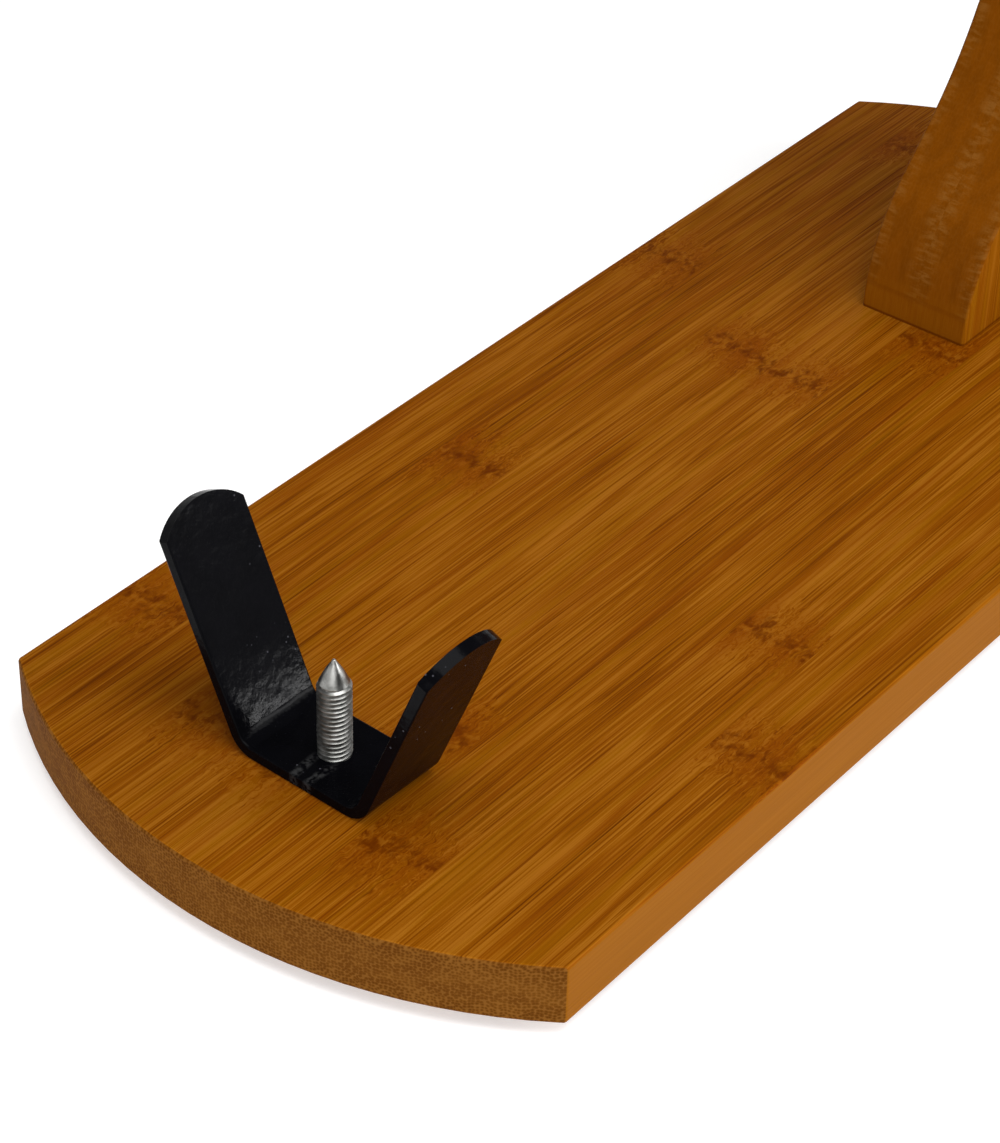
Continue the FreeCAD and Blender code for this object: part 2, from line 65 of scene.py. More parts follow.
# Lights: name, place, target, size, watts, and spread in degrees
SOFTBOXES = (
    ("overhead", (-0.26, -0.32, 1.10), (-0.12, -0.02, 0.0), (0.9, 0.8), 13.0, 180.0),
    ("key", (0.34, -0.88, 0.60), (-0.10, 0.0, 0.03), (0.45, 0.8), 4.6, 180.0),
    ("low", (0.525, -1.04, 0.39), (-0.15, 0.02, 0.03), (0.5, 0.29), 3.0, 180.0),
    ("glint", (-0.060, -0.130, 0.0240), (-0.152, 0.019, 0.0245), (0.030, 0.007), 0.00017, 12.0),
    ("fill", (-0.98, -0.45, 0.62), (-0.10, 0.0, 0.03), (0.8, 0.6), 4.0, 180.0),
)

# Board
BOARD_LOW, BOARD_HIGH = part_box("base_board")
BOARD_TOP = BOARD_HIGH.z
BOARD_MIDDLE = (BOARD_LOW.z + BOARD_HIGH.z) / 2

# Bamboo strips: where one node crosses each strip. The others are a spacing apart.
STRIP_WIDTH = 0.020
NODE_SPACING = 0.204
BOARD_NODES = (-0.093, -0.055, -0.168, -0.130, -0.165, -0.163, -0.045, -0.139)
POST_NODES = 2 * (0.118, 0.172, 0.150, 0.194, 0.155, 0.128, 0.180, 0.110, 0.164, 0.140)

# Bamboo patterns: cycles a millimetre along the fibres, across them and through them.
# Those that end in 1.0 take the strip's own shift there, so that no two strips look alike.
WANDER = (0.05, 0.16, 1.0)
JAG = (0.10, 0.8, 1.0)
SWAY = (0.005, 0.03, 1.0)
RISE = (0.016, 0.30, 1.0)
TANGLE = (0.24, 0.40, 0.45)
HAIR = (0.016, 2.1, 2.1)
FINE = (0.020, 3.6, 3.6)
BANDS = (0.006, 0.62, 0.40)
BROAD = (0.004, 0.20, 0.05)
CLOUD = (0.035, 0.11, 0.08)
TINT = (0.010, 0.30, 1.0)
MOTTLE = (0.26, 0.40, 1.0)
DOTS = (0.42, 0.62)
END_MOTTLE = (0.1, 0.18, 0.30)
RIPPLE = (0.85, 0.06, 0.22)
REACH = (0.10, 0.0, 0.02)

# Fibre bundles a millimetre, and how far the patterns of one strip are from the next one's
BUNDLES = 1.22
STRIP_SHIFT = 37.0

# Bamboo ranges, each from none to full: how squarely a face has to lie to count as the
# panel's side, and millimetres from the panel's middle, from a node, along a strip whose
# second node is left out, and across a strip, in strip widths, to its glue line
SIDE_FACE = (0.80, 0.97)
SKIN = (1.0, 7.5)
NODE_BAND = (5.2, 1.8)
NODE_HALO = (18.0, 3.0)
NODE_RIDGE = (1.8, 0.5)
LEFT_OUT = (-60.0, -50.0)
GLUE_LINE = (0.4925, 0.4985)

# Painted shade: a dark line round the post's foot, where the post meets the board. The heights
# where it fades out above the board, and those where it starts, just at the board's top, so
# that the board itself has none
FOOT_SHADE = (BOARD_TOP + 1.0 * MM, BOARD_TOP + 0.5 * MM)
FOOT_START = (BOARD_TOP - 0.01 * MM, BOARD_TOP + 0.02 * MM)

# cut: how squarely a face has to cross the fibres to show end grain. contrast, dots and
# ripples: how strong the fibres, the end grain's dots and the cutter's ripples are.
# single: the strip that has one node only.
BOARD_LOOKS = {"cut": (0.20, 0.62), "contrast": 1.0, "dots": 1.0, "ripples": 0.0, "single": 2}
POST_LOOKS = {"cut": (0.02, 0.30), "contrast": 0.50, "dots": 0.14, "ripples": 0.50, "single": None}

BOARD_TONES = {
    "light": (0.292, 0.105, 0.0070),
    "ground": (0.207, 0.061, 0.0010),
    "dark": (0.134, 0.034, 0.0005),
    "darkest": (0.066, 0.013, 0.0002),
    "red": (0.168, 0.036, 0.0005),
    "sallow": (0.232, 0.086, 0.0010),
    "knot": (0.084, 0.016, 0.0002),
    # edge is painted light: a lighter tone on the board's long side faces, where the key light falls
    "edge": (0.330, 0.130, 0.0075),
    "side_shading_share": 0.66,
    "end": (0.148, 0.054, 0.0070),
    "end_shade": (0.116, 0.039, 0.0045),
    "end_light": (0.208, 0.086, 0.015),
    "end_dot": (0.068, 0.020, 0.0012),
}
POST_TONES = {
    **BOARD_TONES,
    # edge is painted shade: a darker tone on the post's front and back faces, which get less light
    "edge": (0.178, 0.051, 0.0012),
    "side_shading_share": 0.75,
    "end": (0.148, 0.040, 0.0008),
    "end_shade": (0.127, 0.034, 0.0006),
}

# Threads: the shares of a pitch that are root, flank and crest, and the shares at which
# a thread has rows of points. The second flank is what is left.
THREAD_ROOT = 0.25
THREAD_FLANK = 0.3125
THREAD_CREST = 0.125
THREAD_SHARES = (0.0, 0.125, 0.25, 0.40, 0.5625, 0.625, 0.6875, 0.85)
M8_RADIUS = 0.004
M8_PITCH = 0.00125
M8_DEPTH = 0.00072
WOOD_PITCH = 0.0022
WOOD_DEPTH = 0.0007
TURN_STEPS = 48

# Spike: its shoulder is the step from the thread to the cone, which swells by the belly
SPIKE_X = sum(corner.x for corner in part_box("spike_stud")) / 2
SPIKE_POINT = 0.0062
SPIKE_CONE_RADIUS = 0.0035
SPIKE_SHOULDER = 0.00015
SPIKE_TIP_RADIUS = 0.0005
SPIKE_BELLY = 0.00022
SPIKE_CONE_STEPS = 8
SPIKE_CHAMFER = 0.0006

# Pale grey streaks on the rest's plate, lighter than the coat: each one's slope and start
# across it, then the heights, the distances from the streak's middle and the places along the
# board where it fades in
STREAKS = ((0.06, 0.0025), (-0.10, -0.0035))
STREAK_HEIGHT = (BOARD_TOP + 4.0 * MM, BOARD_TOP + 3.0 * MM)
STREAK_WIDTH = (1.6 * MM, 0.3 * MM)
STREAK_REACH = (SPIKE_X - 2.0 * MM, SPIKE_X - 6.0 * MM)

# Ring, and the bead that welds the boss to it. Its ripples are a count round it and a share
# of its radius.
RING_OUTER = 0.045
BOSS_RADIUS = 0.008
BEAD_RADIUS = 0.0013
BEAD_RIPPLES = ((26, 0.10), (5, 0.06))
BEAD_STEPS = 120
BEAD_SIDES = 12

# Clamp screw: a ball, drawn for a share of a half circle up from its lowest point, with
# its centre below the pad's top, then a neck that stands out of the pad, then the thread
BALL_RADIUS = 0.0035
BALL_ARC = 0.785
BALL_STEPS = 12
BALL_BELOW_TOP = 0.0045
NECK_RADIUS = 0.0022
NECK_LENGTH = 0.003
SCREW_CHAMFER = 0.0008

# Knob: its side as (share of the lobed outline, share of the height), from the top's hollow
# down to the hub's foot
KNOB_SIDE = (
    (0.16, 0.955), (0.27, 0.960), (0.34, 0.985), (0.42, 1.000),
    (0.60, 0.992), (0.78, 0.965), (0.90, 0.915), (0.97, 0.840), (1.00, 0.730),
    (1.00, 0.560), (0.99, 0.430), (0.965, 0.345), (0.91, 0.290), (0.80, 0.262),
    (0.62, 0.250), (0.52, 0.238), (0.48, 0.200), (0.475, 0.100), (0.465, 0.015), (0.44, 0.0),
    (0.32, 0.0),
)

# Knob's outline: a hollow between lobes is this share of the radius, and there are none
# inside the hub's share. The ribs stand between two shares of the height.
KNOB_LOBES = 6
KNOB_HOLLOW = 0.215
KNOB_HUB = 0.45
KNOB_RIBS = 72
KNOB_RIB_HEIGHT = 0.00018
KNOB_RIB_LEVELS = (0.3, 0.88)
KNOB_STEPS = 288
INSERT_RADIUS = 0.006
INSERT_LENGTH = 0.014

FEET = ("foot_rest_left", "foot_rest_right", "foot_post_left", "foot_post_right")

# Wood screws: piece, CAD node, radius, head's radius and height, and the point's length
FOOT_SCREWS = ("foot_wood_screws", "foot_screws", 0.00175, (0.0039, 0.0019), 0.003)
POST_SCREWS = ("post_wood_screws", "post_screws", 0.0025, (0.00475, 0.0029), 0.005)
RING_SCREWS = ("ring_wood_screws", "ring_screws", 0.0025, (0.00475, 0.0029), 0.005)

# Every wood screw: its plain shank and the shank's run-out into the thread, its tip, the
# eased rim under its head, and the head's dome: its flat middle as a share of the head's
# radius, and its height as a share of the head's
SHANK_LENGTH = 0.003
RUN_OUT = 0.001
TIP_RADIUS = 0.0003
HEAD_EASE = 0.0001
DOME_EDGE = 0.35
DOME_SHARE = 0.55
DOME_STEPS = 8

# Cross recess in a wood screw's head: half its length and width as shares of the head's
# radius, its depth as a share of the head's height, and how much narrower its bottom is
RECESS = (0.52, 0.095, 0.55)
RECESS_LENGTH_TAPER = 0.72
RECESS_WIDTH_TAPER = 0.8
RECESS_ABOVE = 0.001


# ---------------------------------------------------------------- frame facts

def joint(name):
    """A joint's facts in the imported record."""
    return next(j for j in frame["joints"] if j["name"] == name)


CLAMP_UP = -Vector(joint("screw_turn")["axis"]).normalized()
CLAMP_AT = Vector(joint("screw_turn")["pos_m"])
CLAMP_SIDE = Vector((0, 1, 0))
CLAMP_ACROSS = CLAMP_SIDE.cross(CLAMP_UP)


def along(node, axis, origin):
    """Lowest and highest reach of a CAD node along an axis from an origin."""
    reach = [(v.co - origin).dot(axis) for v in frame["nodes"][node].data.vertices]
    return min(reach), max(reach)


def axis_matrix(origin, up, across):
    """The frame at an origin whose Z is up and whose X is across."""
    side = up.cross(across)
    turn = Matrix((across, side, up)).transposed()
    return Matrix.Translation(origin) @ turn.to_4x4()


CLAMP_FRAME = axis_matrix(CLAMP_AT, CLAMP_UP, CLAMP_ACROSS)


# ---------------------------------------------------------------- node helpers

class Nodes:
    """A material's node tree, with one short call for each kind of node."""

    def __init__(self, name):
        self.material = bpy.data.materials.new(name)
        self.material.use_nodes = True
        self.tree = self.material.node_tree
        self.tree.nodes.clear()
        self.shader = self.tree.nodes.new("ShaderNodeBsdfPrincipled")
        output = self.tree.nodes.new("ShaderNodeOutputMaterial")
        self.tree.links.new(self.shader.outputs[0], output.inputs[0])

    def put(self, socket, value):
        if isinstance(value, bpy.types.NodeSocket):
            self.tree.links.new(value, socket)
        elif hasattr(value, "__len__") and len(value) == 3 and socket.type == "RGBA":
            socket.default_value = (*value, 1.0)
        else:
            socket.default_value = value

    def math(self, operation, *values, clamp=False):
        node = self.tree.nodes.new("ShaderNodeMath")
        node.operation = operation
        node.use_clamp = clamp
        for socket, value in zip(node.inputs, values):
            self.put(socket, value)
        return node.outputs[0]

    def add(self, a, b):
        return self.math("ADD", a, b)

    def times(self, a, b):
        return self.math("MULTIPLY", a, b)

    def swing(self, noise, size):
        """A noise centred on nothing, times a size."""
        return self.times(self.add(noise, -0.5), size)

    def off(self, value):
        return self.math("ABSOLUTE", value)

    def mix(self, factor, a, b):
        node = self.tree.nodes.new("ShaderNodeMix")
        node.data_type = "RGBA"
        self.put(node.inputs[0], factor)
        self.put(node.inputs[6], a)
        self.put(node.inputs[7], b)
        return node.outputs[2]

    def between(self, value, none, full):
        """0 where value is at none, eased up to 1 where it is at full."""
        node = self.tree.nodes.new("ShaderNodeMapRange")
        node.interpolation_type = "SMOOTHSTEP"
        for socket, given in zip(node.inputs, (value, none, full)):
            self.put(socket, given)
        return node.outputs[0]

    def noise(self, vector, scale, detail, roughness=0.5):
        node = self.tree.nodes.new("ShaderNodeTexNoise")
        self.put(node.inputs["Vector"], vector)
        self.put(node.inputs["Scale"], scale)
        self.put(node.inputs["Detail"], detail)
        self.put(node.inputs["Roughness"], roughness)
        return node.outputs["Fac"]

    def pattern(self, scales, x, y, z, detail, roughness=0.5):
        """Noise with a scale of its own along each of three coordinates."""
        at = self.join(*map(self.times, (x, y, z), scales))
        return self.noise(at, 1.0, detail, roughness)

    def cells(self, vector, scale):
        node = self.tree.nodes.new("ShaderNodeTexVoronoi")
        self.put(node.inputs["Vector"], vector)
        self.put(node.inputs["Scale"], scale)
        return node.outputs["Distance"]

    def cells_flat(self, vector, randomness):
        """Distance to the nearest cell centre, in the first two coordinates only."""
        node = self.tree.nodes.new("ShaderNodeTexVoronoi")
        node.voronoi_dimensions = "2D"
        self.put(node.inputs["Vector"], vector)
        self.put(node.inputs["Scale"], 1.0)
        self.put(node.inputs["Randomness"], randomness)
        return node.outputs["Distance"]

    def ramp(self, share, colours):
        """Blends evenly through several colours."""
        node = self.tree.nodes.new("ShaderNodeValToRGB")
        stops = node.color_ramp.elements
        last = len(colours) - 1
        for index, colour in enumerate(colours):
            stop = stops[index] if index < 2 else stops.new(index / last)
            stop.position = index / last
            stop.color = (*colour, 1.0)
        self.put(node.inputs[0], share)
        return node.outputs[0]

    def random(self, value):
        node = self.tree.nodes.new("ShaderNodeTexWhiteNoise")
        node.noise_dimensions = "1D"
        self.put(node.inputs["W"], value)
        return node.outputs["Value"]

    def steps(self, share, values):
        """Reads one of several values by the share of the way through them."""
        node = self.tree.nodes.new("ShaderNodeValToRGB")
        node.color_ramp.interpolation = "CONSTANT"
        stops = node.color_ramp.elements
        for index, value in enumerate(values):
            stop = stops[index] if index < 2 else stops.new(index / len(values))
            stop.position = index / len(values)
            stop.color = (value, value, value, 1.0)
        self.put(node.inputs[0], share)
        return node.outputs[0]

    def place(self):
        return self.tree.nodes.new("ShaderNodeTexCoord").outputs["Object"]

    def facing(self, number):
        """How squarely the surface faces along object axis 0, 1 or 2, from 0 to 1."""
        axis = [0.0, 0.0, 0.0]
        axis[number] = 1.0
        normal = self.tree.nodes.new("ShaderNodeTexCoord").outputs["Normal"]
        node = self.tree.nodes.new("ShaderNodeVectorMath")
        node.operation = "DOT_PRODUCT"
        self.put(node.inputs[0], normal)
        self.put(node.inputs[1], axis)
        return self.off(node.outputs["Value"])

    def split(self, vector):
        node = self.tree.nodes.new("ShaderNodeSeparateXYZ")
        self.put(node.inputs[0], vector)
        return node.outputs

    def join(self, x, y, z):
        node = self.tree.nodes.new("ShaderNodeCombineXYZ")
        for socket, value in zip(node.inputs, (x, y, z)):
            self.put(socket, value)
        return node.outputs[0]

    def bump(self, height, distance, strength):
        node = self.tree.nodes.new("ShaderNodeBump")
        self.put(node.inputs["Height"], height)
        node.inputs["Distance"].default_value = distance
        node.inputs["Strength"].default_value = strength
        self.tree.links.new(node.outputs[0], self.shader.inputs["Normal"])

    def set(self, **sockets):
        for name, value in sockets.items():
            self.put(self.shader.inputs[name.replace("_", " ")], value)
        return self.material


# ---------------------------------------------------------------- materials

class Bamboo(Nodes):
    """A panel of glued bamboo strips, worked out in millimetres: run along the fibres,
    across the strips, and deep through the panel from its middle.

    axes holds the numbers of those three axes, and middle is in metres. looks and tones
    are tables such as BOARD_LOOKS and BOARD_TONES."""

    def __init__(self, name, axes, middle, first_nodes, looks, tones):
        super().__init__(name)
        grain, width, depth = axes
        place = self.split(self.place())
        self.looks = looks
        self.tones = tones
        self.height = place[2]
        self.run = self.times(place[grain], 1 / MM)
        self.across = self.times(place[width], 1 / MM)
        self.deep = self.times(self.add(place[depth], -middle), 1 / MM)
        self.skin = self.between(self.off(self.deep), *SKIN)
        self.side = self.between(self.facing(width), *SIDE_FACE)
        self.cut = self.between(self.facing(grain), *looks["cut"])
        self.strip_at = self.add(self.times(self.across, MM / STRIP_WIDTH), len(first_nodes) / 2)
        self.strip = self.math("FLOOR", self.strip_at)
        self.apart = self.times(self.strip, STRIP_SHIFT)
        self.find_nodes(first_nodes)
        self.bend_fibres()

    def find_nodes(self, first_nodes):
        """How far each point is from the ragged node that crosses its strip."""
        strips = len(first_nodes)
        lowest = min(first_nodes)
        spread = max(first_nodes) - lowest
        spacing = NODE_SPACING / MM
        share = self.times(self.add(self.strip, 0.5), 1 / strips)
        first = self.steps(share, [(start - lowest) / spread for start in first_nodes])
        first = self.add(self.times(first, spread / MM), lowest / MM)
        past = self.times(self.math("SUBTRACT", self.run, first), 1 / spacing)
        off_node = self.swing(self.math("FRACT", self.add(past, 0.5)), spacing)
        wander = self.pattern(WANDER, self.run, self.across, self.apart, 2.0)
        jag = self.pattern(JAG, self.run, self.across, self.apart, 2.0)
        self.off_node = self.add(self.add(off_node, self.swing(wander, 14.0)), self.swing(jag, 9.0))
        single = self.steps(share, [float(i == self.looks["single"]) for i in range(strips)])
        bare = self.times(single, self.between(self.run, *LEFT_OUT))
        self.shown = self.math("SUBTRACT", 1.0, self.math("MAXIMUM", bare, self.side))
        self.band = self.times(self.between(self.off(self.off_node), *NODE_BAND), self.shown)
        self.halo = self.times(self.between(self.off(self.off_node), *NODE_HALO), self.shown)

    def bend_fibres(self):
        """Long bundles of fibres, which tangle at the nodes and are closer at the skins."""
        sway = self.pattern(SWAY, self.run, self.across, self.apart, 1.0)
        rise = self.pattern(RISE, self.run, self.across, self.add(self.apart, 9.0), 1.0)
        tangle = self.pattern(TANGLE, self.run, self.across, self.deep, 2.0)
        tangle = self.times(self.swing(tangle, self.halo), 4.0)
        self.bent = self.add(self.add(self.across, self.swing(sway, 4.0)), tangle)
        self.sunk = self.add(self.add(self.deep, self.swing(rise, 1.6)), tangle)
        sideways = self.times(self.bent, BUNDLES)
        through = self.times(self.add(self.sunk, self.apart), BUNDLES)
        self.bundle = self.cells_flat(self.join(sideways, through, 0.0), 0.65)
        self.core = self.between(self.bundle, self.add(self.times(self.skin, 0.10), 0.32), 0.10)
        self.hair = self.pattern(HAIR, self.run, self.bent, self.sunk, 1.0)
        self.cloud = self.pattern(CLOUD, self.run, self.bent, self.deep, 3.0)

    def long_grain(self):
        """The fibres on a face that runs along them."""
        tones = self.tones
        fine = self.pattern(FINE, self.run, self.bent, self.sunk, 1.0)
        bands = self.pattern(BANDS, self.run, self.bent, self.sunk, 1.0)
        broad = self.pattern(BROAD, self.run, self.bent, self.deep, 2.0)
        strip_tone = self.add(self.random(self.add(self.strip, 3.7)), -0.5)
        streak = self.times(self.add(self.core, -0.4), 0.20)
        strengths = ((self.hair, 1.28), (fine, 1.10), (bands, 0.42), (broad, 0.55), (self.cloud, 0.50))
        for noise, strength in strengths:
            streak = self.add(streak, self.swing(noise, strength))
        streak = self.add(streak, self.times(strip_tone, 0.22))
        streak = self.add(self.times(streak, self.looks["contrast"]), 0.35)
        body = self.ramp(streak, [tones[name] for name in ("light", "ground", "dark", "darkest")])
        tint = self.pattern(TINT, self.run, self.bent, self.add(self.deep, self.apart), 2.0)
        body = self.mix(self.times(self.between(tint, 0.50, 0.70), 0.38), body, tones["red"])
        body = self.mix(self.times(self.between(tint, 0.48, 0.32), 0.40), body, tones["sallow"])
        # Painted light and shade on the faces across the strips: the edge tone, lighter on the board,
        # darker on the post
        return self.mix(self.times(self.side, tones["side_shading_share"]), body, tones["edge"])

    def knotted(self, body):
        """Adds the nodes, dark red clots with paler wood between them, and the glue lines."""
        tones = self.tones
        at_dots = self.join(self.times(self.run, DOTS[0]), self.times(self.bent, DOTS[1]), 0.0)
        dot = self.cells_flat(at_dots, 1.0)
        mottle = self.pattern(MOTTLE, self.run, self.bent, self.apart, 3.0)
        blotch = self.between(mottle, 0.42, 0.62)
        spots = self.times(self.between(dot, 0.50, 0.14), self.between(mottle, 0.34, 0.54))
        rim = self.times(self.between(dot, 0.34, 0.60), self.between(mottle, 0.52, 0.36))
        off_ridge = self.off(self.add(self.off_node, self.swing(mottle, 5.0)))
        ridge = self.times(self.between(off_ridge, *NODE_RIDGE), self.shown)
        knotty = self.add(self.times(blotch, 0.50), self.times(spots, 0.34))
        clots = self.math("MULTIPLY", self.band, knotty, clamp=True)
        glue = self.off(self.add(self.math("FRACT", self.strip_at), -0.5))
        body = self.mix(self.times(self.halo, self.add(self.cloud, -0.10)), body, tones["red"])
        body = self.mix(clots, body, tones["knot"])
        body = self.mix(self.times(self.times(self.band, rim), 0.42), body, tones["light"])
        body = self.mix(self.times(ridge, self.add(self.times(blotch, 0.45), 0.12)), body, tones["knot"])
        return self.mix(self.times(self.between(glue, *GLUE_LINE), 0.45), body, tones["dark"])

    def end_grain(self):
        """The same bundles cut across, dark with light between, and the cutter's ripples."""
        tones = self.tones
        dots = self.looks["dots"]
        mottle = self.pattern(END_MOTTLE, self.run, self.across, self.deep, 3.0)
        end = self.mix(self.between(mottle, 0.35, 0.65), tones["end"], tones["end_shade"])
        pale_gap = self.times(self.between(self.bundle, 0.42, 0.60), 0.50 * dots)
        end = self.mix(pale_gap, end, tones["end_light"])
        dark_cell = self.between(self.bundle, self.add(self.times(self.skin, 0.06), 0.31), 0.13)
        darker = self.add(self.times(self.skin, 0.34 * dots), 0.34 * dots)
        end = self.mix(self.times(dark_cell, darker), end, tones["end_dot"])
        ripple = self.pattern(RIPPLE, self.run, self.across, self.deep, 3.0, 0.6)
        reach = self.pattern(REACH, self.run, self.across, self.deep, 2.0)
        outer = self.between(self.add(self.skin, self.times(reach, 0.8)), 0.60, 1.40)
        ripple = self.times(self.times(self.between(ripple, 0.40, 0.68), outer), self.looks["ripples"])
        return self.mix(ripple, end, tones["end_light"])

    def lacquered(self):
        """The finished material, with end grain where a face crosses the fibres."""
        colour = self.mix(self.cut, self.knotted(self.long_grain()), self.end_grain())
        # Painted shade: a dark line round the post's foot, where the post meets the board
        foot = self.times(self.between(self.height, *FOOT_SHADE), self.between(self.height, *FOOT_START))
        colour = self.mix(self.times(foot, 0.75), colour, self.tones["knot"])
        relief = self.add(self.times(self.core, -0.5), self.times(self.hair, -0.8))
        self.bump(relief, distance=0.03 * MM, strength=0.5)
        rough = self.add(self.times(self.hair, 0.16), self.add(self.times(self.cut, 0.20), 0.36))
        return self.set(Base_Color=colour, Roughness=rough, Specular_IOR_Level=0.012)


def board_bamboo():
    panel = Bamboo("board_bamboo", (0, 1, 2), BOARD_MIDDLE, BOARD_NODES, BOARD_LOOKS, BOARD_TONES)
    return panel.lacquered()


def post_bamboo(node):
    low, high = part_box(node)
    middle = (low.y + high.y) / 2
    panel = Bamboo(node + "_bamboo", (2, 0, 1), middle, POST_NODES, POST_LOOKS, POST_TONES)
    return panel.lacquered()


def powder_coat(name, streaked):
    """Black powder coat with orange peel and a few specks of dust."""
    n = Nodes(name)
    at = n.place()
    peel = n.noise(at, scale=560.0, detail=2.0)
    waves = n.noise(at, scale=190.0, detail=1.0)
    patches = n.between(n.noise(at, scale=75.0, detail=1.0), 0.52, 0.60)
    dust = n.times(n.between(n.cells(at, scale=420.0), 0.13, 0.06), patches)
    clouds = n.noise(at, scale=120.0, detail=3.0)
    colour = n.mix(clouds, (0.0010, 0.0010, 0.0013), (0.0026, 0.0026, 0.0036))
    colour = n.mix(n.times(dust, 0.40), colour, (0.12, 0.12, 0.14))
    if streaked:
        colour = pale_streaks(n, colour)
    smears = n.noise(at, scale=90.0, detail=3.0)
    rough = n.add(n.times(smears, 0.08), n.add(n.times(dust, 0.3), 0.11))
    n.bump(n.add(n.times(peel, 0.6), waves), distance=0.15 * MM, strength=0.7)
    return n.set(Base_Color=colour, Roughness=rough, Specular_IOR_Level=0.030)


def pale_streaks(n, colour):
    """Grey streaks across the rest's plate, on the outer side of the spike."""
    at = n.place()
    x, y, z = n.split(at)
    low = n.between(z, *STREAK_HEIGHT)
    # A noise that breaks the pale grey streaks up into patches
    worn = n.between(n.noise(at, scale=700.0, detail=3.0), 0.40, 0.62)
    for slope, start in STREAKS:
        line = n.add(n.times(n.add(x, -SPIKE_X), slope), start)
        mark = n.between(n.off(n.math("SUBTRACT", y, line)), *STREAK_WIDTH)
        mark = n.times(n.times(mark, low), n.between(x, *STREAK_REACH))
        colour = n.mix(n.times(n.times(mark, worn), 0.22), colour, (0.11, 0.11, 0.11))
    return colour


def zinc(name, dark, light, rough):
    """Zinc plate, clouded between a dark and a light tone."""
    n = Nodes(name)
    at = n.place()
    cloud = n.noise(at, scale=420.0, detail=4.0)
    spangle = n.noise(at, scale=2600.0, detail=2.0)
    colour = n.mix(n.between(cloud, 0.35, 0.65), dark, light)
    n.bump(spangle, distance=0.006 * MM, strength=0.5)
    return n.set(Base_Color=colour, Roughness=n.add(n.times(cloud, 0.18), rough), Metallic=1.0)


def rubber(name, tone):
    n = Nodes(name)
    at = n.place()
    bloom = n.noise(at, scale=150.0, detail=4.0)
    colour = n.mix(n.between(bloom, 0.35, 0.7), [tone] * 3, [tone * 1.9] * 3)
    n.bump(n.noise(at, scale=1900.0, detail=3.0), distance=0.03 * MM, strength=0.5)
    return n.set(Base_Color=colour, Roughness=n.add(n.times(bloom, 0.2), 0.62))


def moulded_plastic():
    n = Nodes("moulded_plastic")
    at = n.place()
    wear = n.noise(at, scale=120.0, detail=3.0)
    colour = n.mix(n.between(wear, 0.4, 0.7), (0.0050, 0.0050, 0.0055), (0.0120, 0.0120, 0.0125))
    n.bump(n.cells(at, scale=1500.0), distance=0.03 * MM, strength=0.55)
    rough = n.add(n.times(wear, 0.16), 0.34)
    return n.set(Base_Color=colour, Roughness=rough, Specular_IOR_Level=0.25)


def turned_brass():
    n = Nodes("turned_brass")
    at = n.place()
    stain = n.noise(at, scale=300.0, detail=3.0)
    colour = n.mix(stain, (0.58, 0.36, 0.11), (0.80, 0.56, 0.24))
    n.bump(n.noise(at, scale=3000.0, detail=2.0), distance=0.005 * MM, strength=0.5)
    return n.set(Base_Color=colour, Roughness=n.add(n.times(stain, 0.15), 0.22), Metallic=1.0)


def beech():
    n = Nodes("beech")
    x, y, z = n.split(n.place())
    fleck = n.pattern((900.0, 900.0, 70.0), x, y, z, 3.0)
    colour = n.mix(n.between(fleck, 0.35, 0.65), (0.52, 0.33, 0.16), (0.38, 0.21, 0.09))
    n.bump(fleck, distance=0.03 * MM, strength=0.5)
    return n.set(Base_Color=colour, Roughness=0.6)


def floor_paper():
    n = Nodes("floor_paper")
    at = n.place()
    colour = n.mix(n.noise(at, scale=3.0, detail=3.0), (0.66, 0.66, 0.66), (0.69, 0.69, 0.69))
    n.bump(n.noise(at, scale=700.0, detail=2.0), distance=0.05 * MM, strength=0.2)
    n.set(Base_Color=colour, Roughness=0.8, Specular_IOR_Level=0.1)
    return n.set(Emission_Color=(1.0, 1.0, 1.0), Emission_Strength=0.45)


# ---------------------------------------------------------------- meshes

def piece(name, mesh, material, body, slot, *nodes):
    """Puts a mesh in the scene as a piece that rides on a body and may replace CAD nodes."""
    obj = bpy.data.objects.new(name, mesh)
    bpy.context.scene.collection.objects.link(obj)
    mesh.materials.append(material)
    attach(obj, body)
    if nodes:
        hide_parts(*nodes)
    return obj


def finished(name, bm, matrix=Matrix.Identity(4), sharp=40.0):
    """Welds, caps and orients a bmesh, and marks its sharp edges."""
    bmesh.ops.remove_doubles(bm, verts=bm.verts, dist=1e-7)
    bmesh.ops.dissolve_degenerate(bm, edges=bm.edges, dist=1e-7)
    rims = [e for e in bm.edges if e.is_boundary]
    if rims:
        bmesh.ops.holes_fill(bm, edges=rims)
    bmesh.ops.recalc_face_normals(bm, faces=bm.faces)
    bm.transform(matrix)
    for face in bm.faces:
        face.smooth = True
    for edge in bm.edges:
        edge.smooth = edge.calc_face_angle(0.0) < math.radians(sharp)
    mesh = bpy.data.meshes.new(name)
    bm.to_mesh(mesh)
    bm.free()
    return mesh


def lathe_rows(bm, rows, steps, radius_at):
    """Joins rows of points round an axis. radius_at(row, angle) is (radius, height)."""
    rings = []
    for row in rows:
        ring = []
        for step in range(steps):
            angle = 2 * math.pi * step / steps
            radius, height = radius_at(row, angle)
            ring.append(bm.verts.new((radius * math.cos(angle), radius * math.sin(angle), height)))
        rings.append(ring)
    for low, high in zip(rings, rings[1:]):
        for step in range(steps):
            after = (step + 1) % steps
            bm.faces.new((low[step], low[after], high[after], high[step]))
    return rings


def thread_form(share):
    """How far a point at this share of one pitch stands out of the thread's root."""
    if share < THREAD_ROOT:
        return 0.0
    if share < THREAD_ROOT + THREAD_FLANK:
        return (share - THREAD_ROOT) / THREAD_FLANK
    if share < THREAD_ROOT + THREAD_FLANK + THREAD_CREST:
        return 1.0
    return (1.0 - share) / THREAD_FLANK


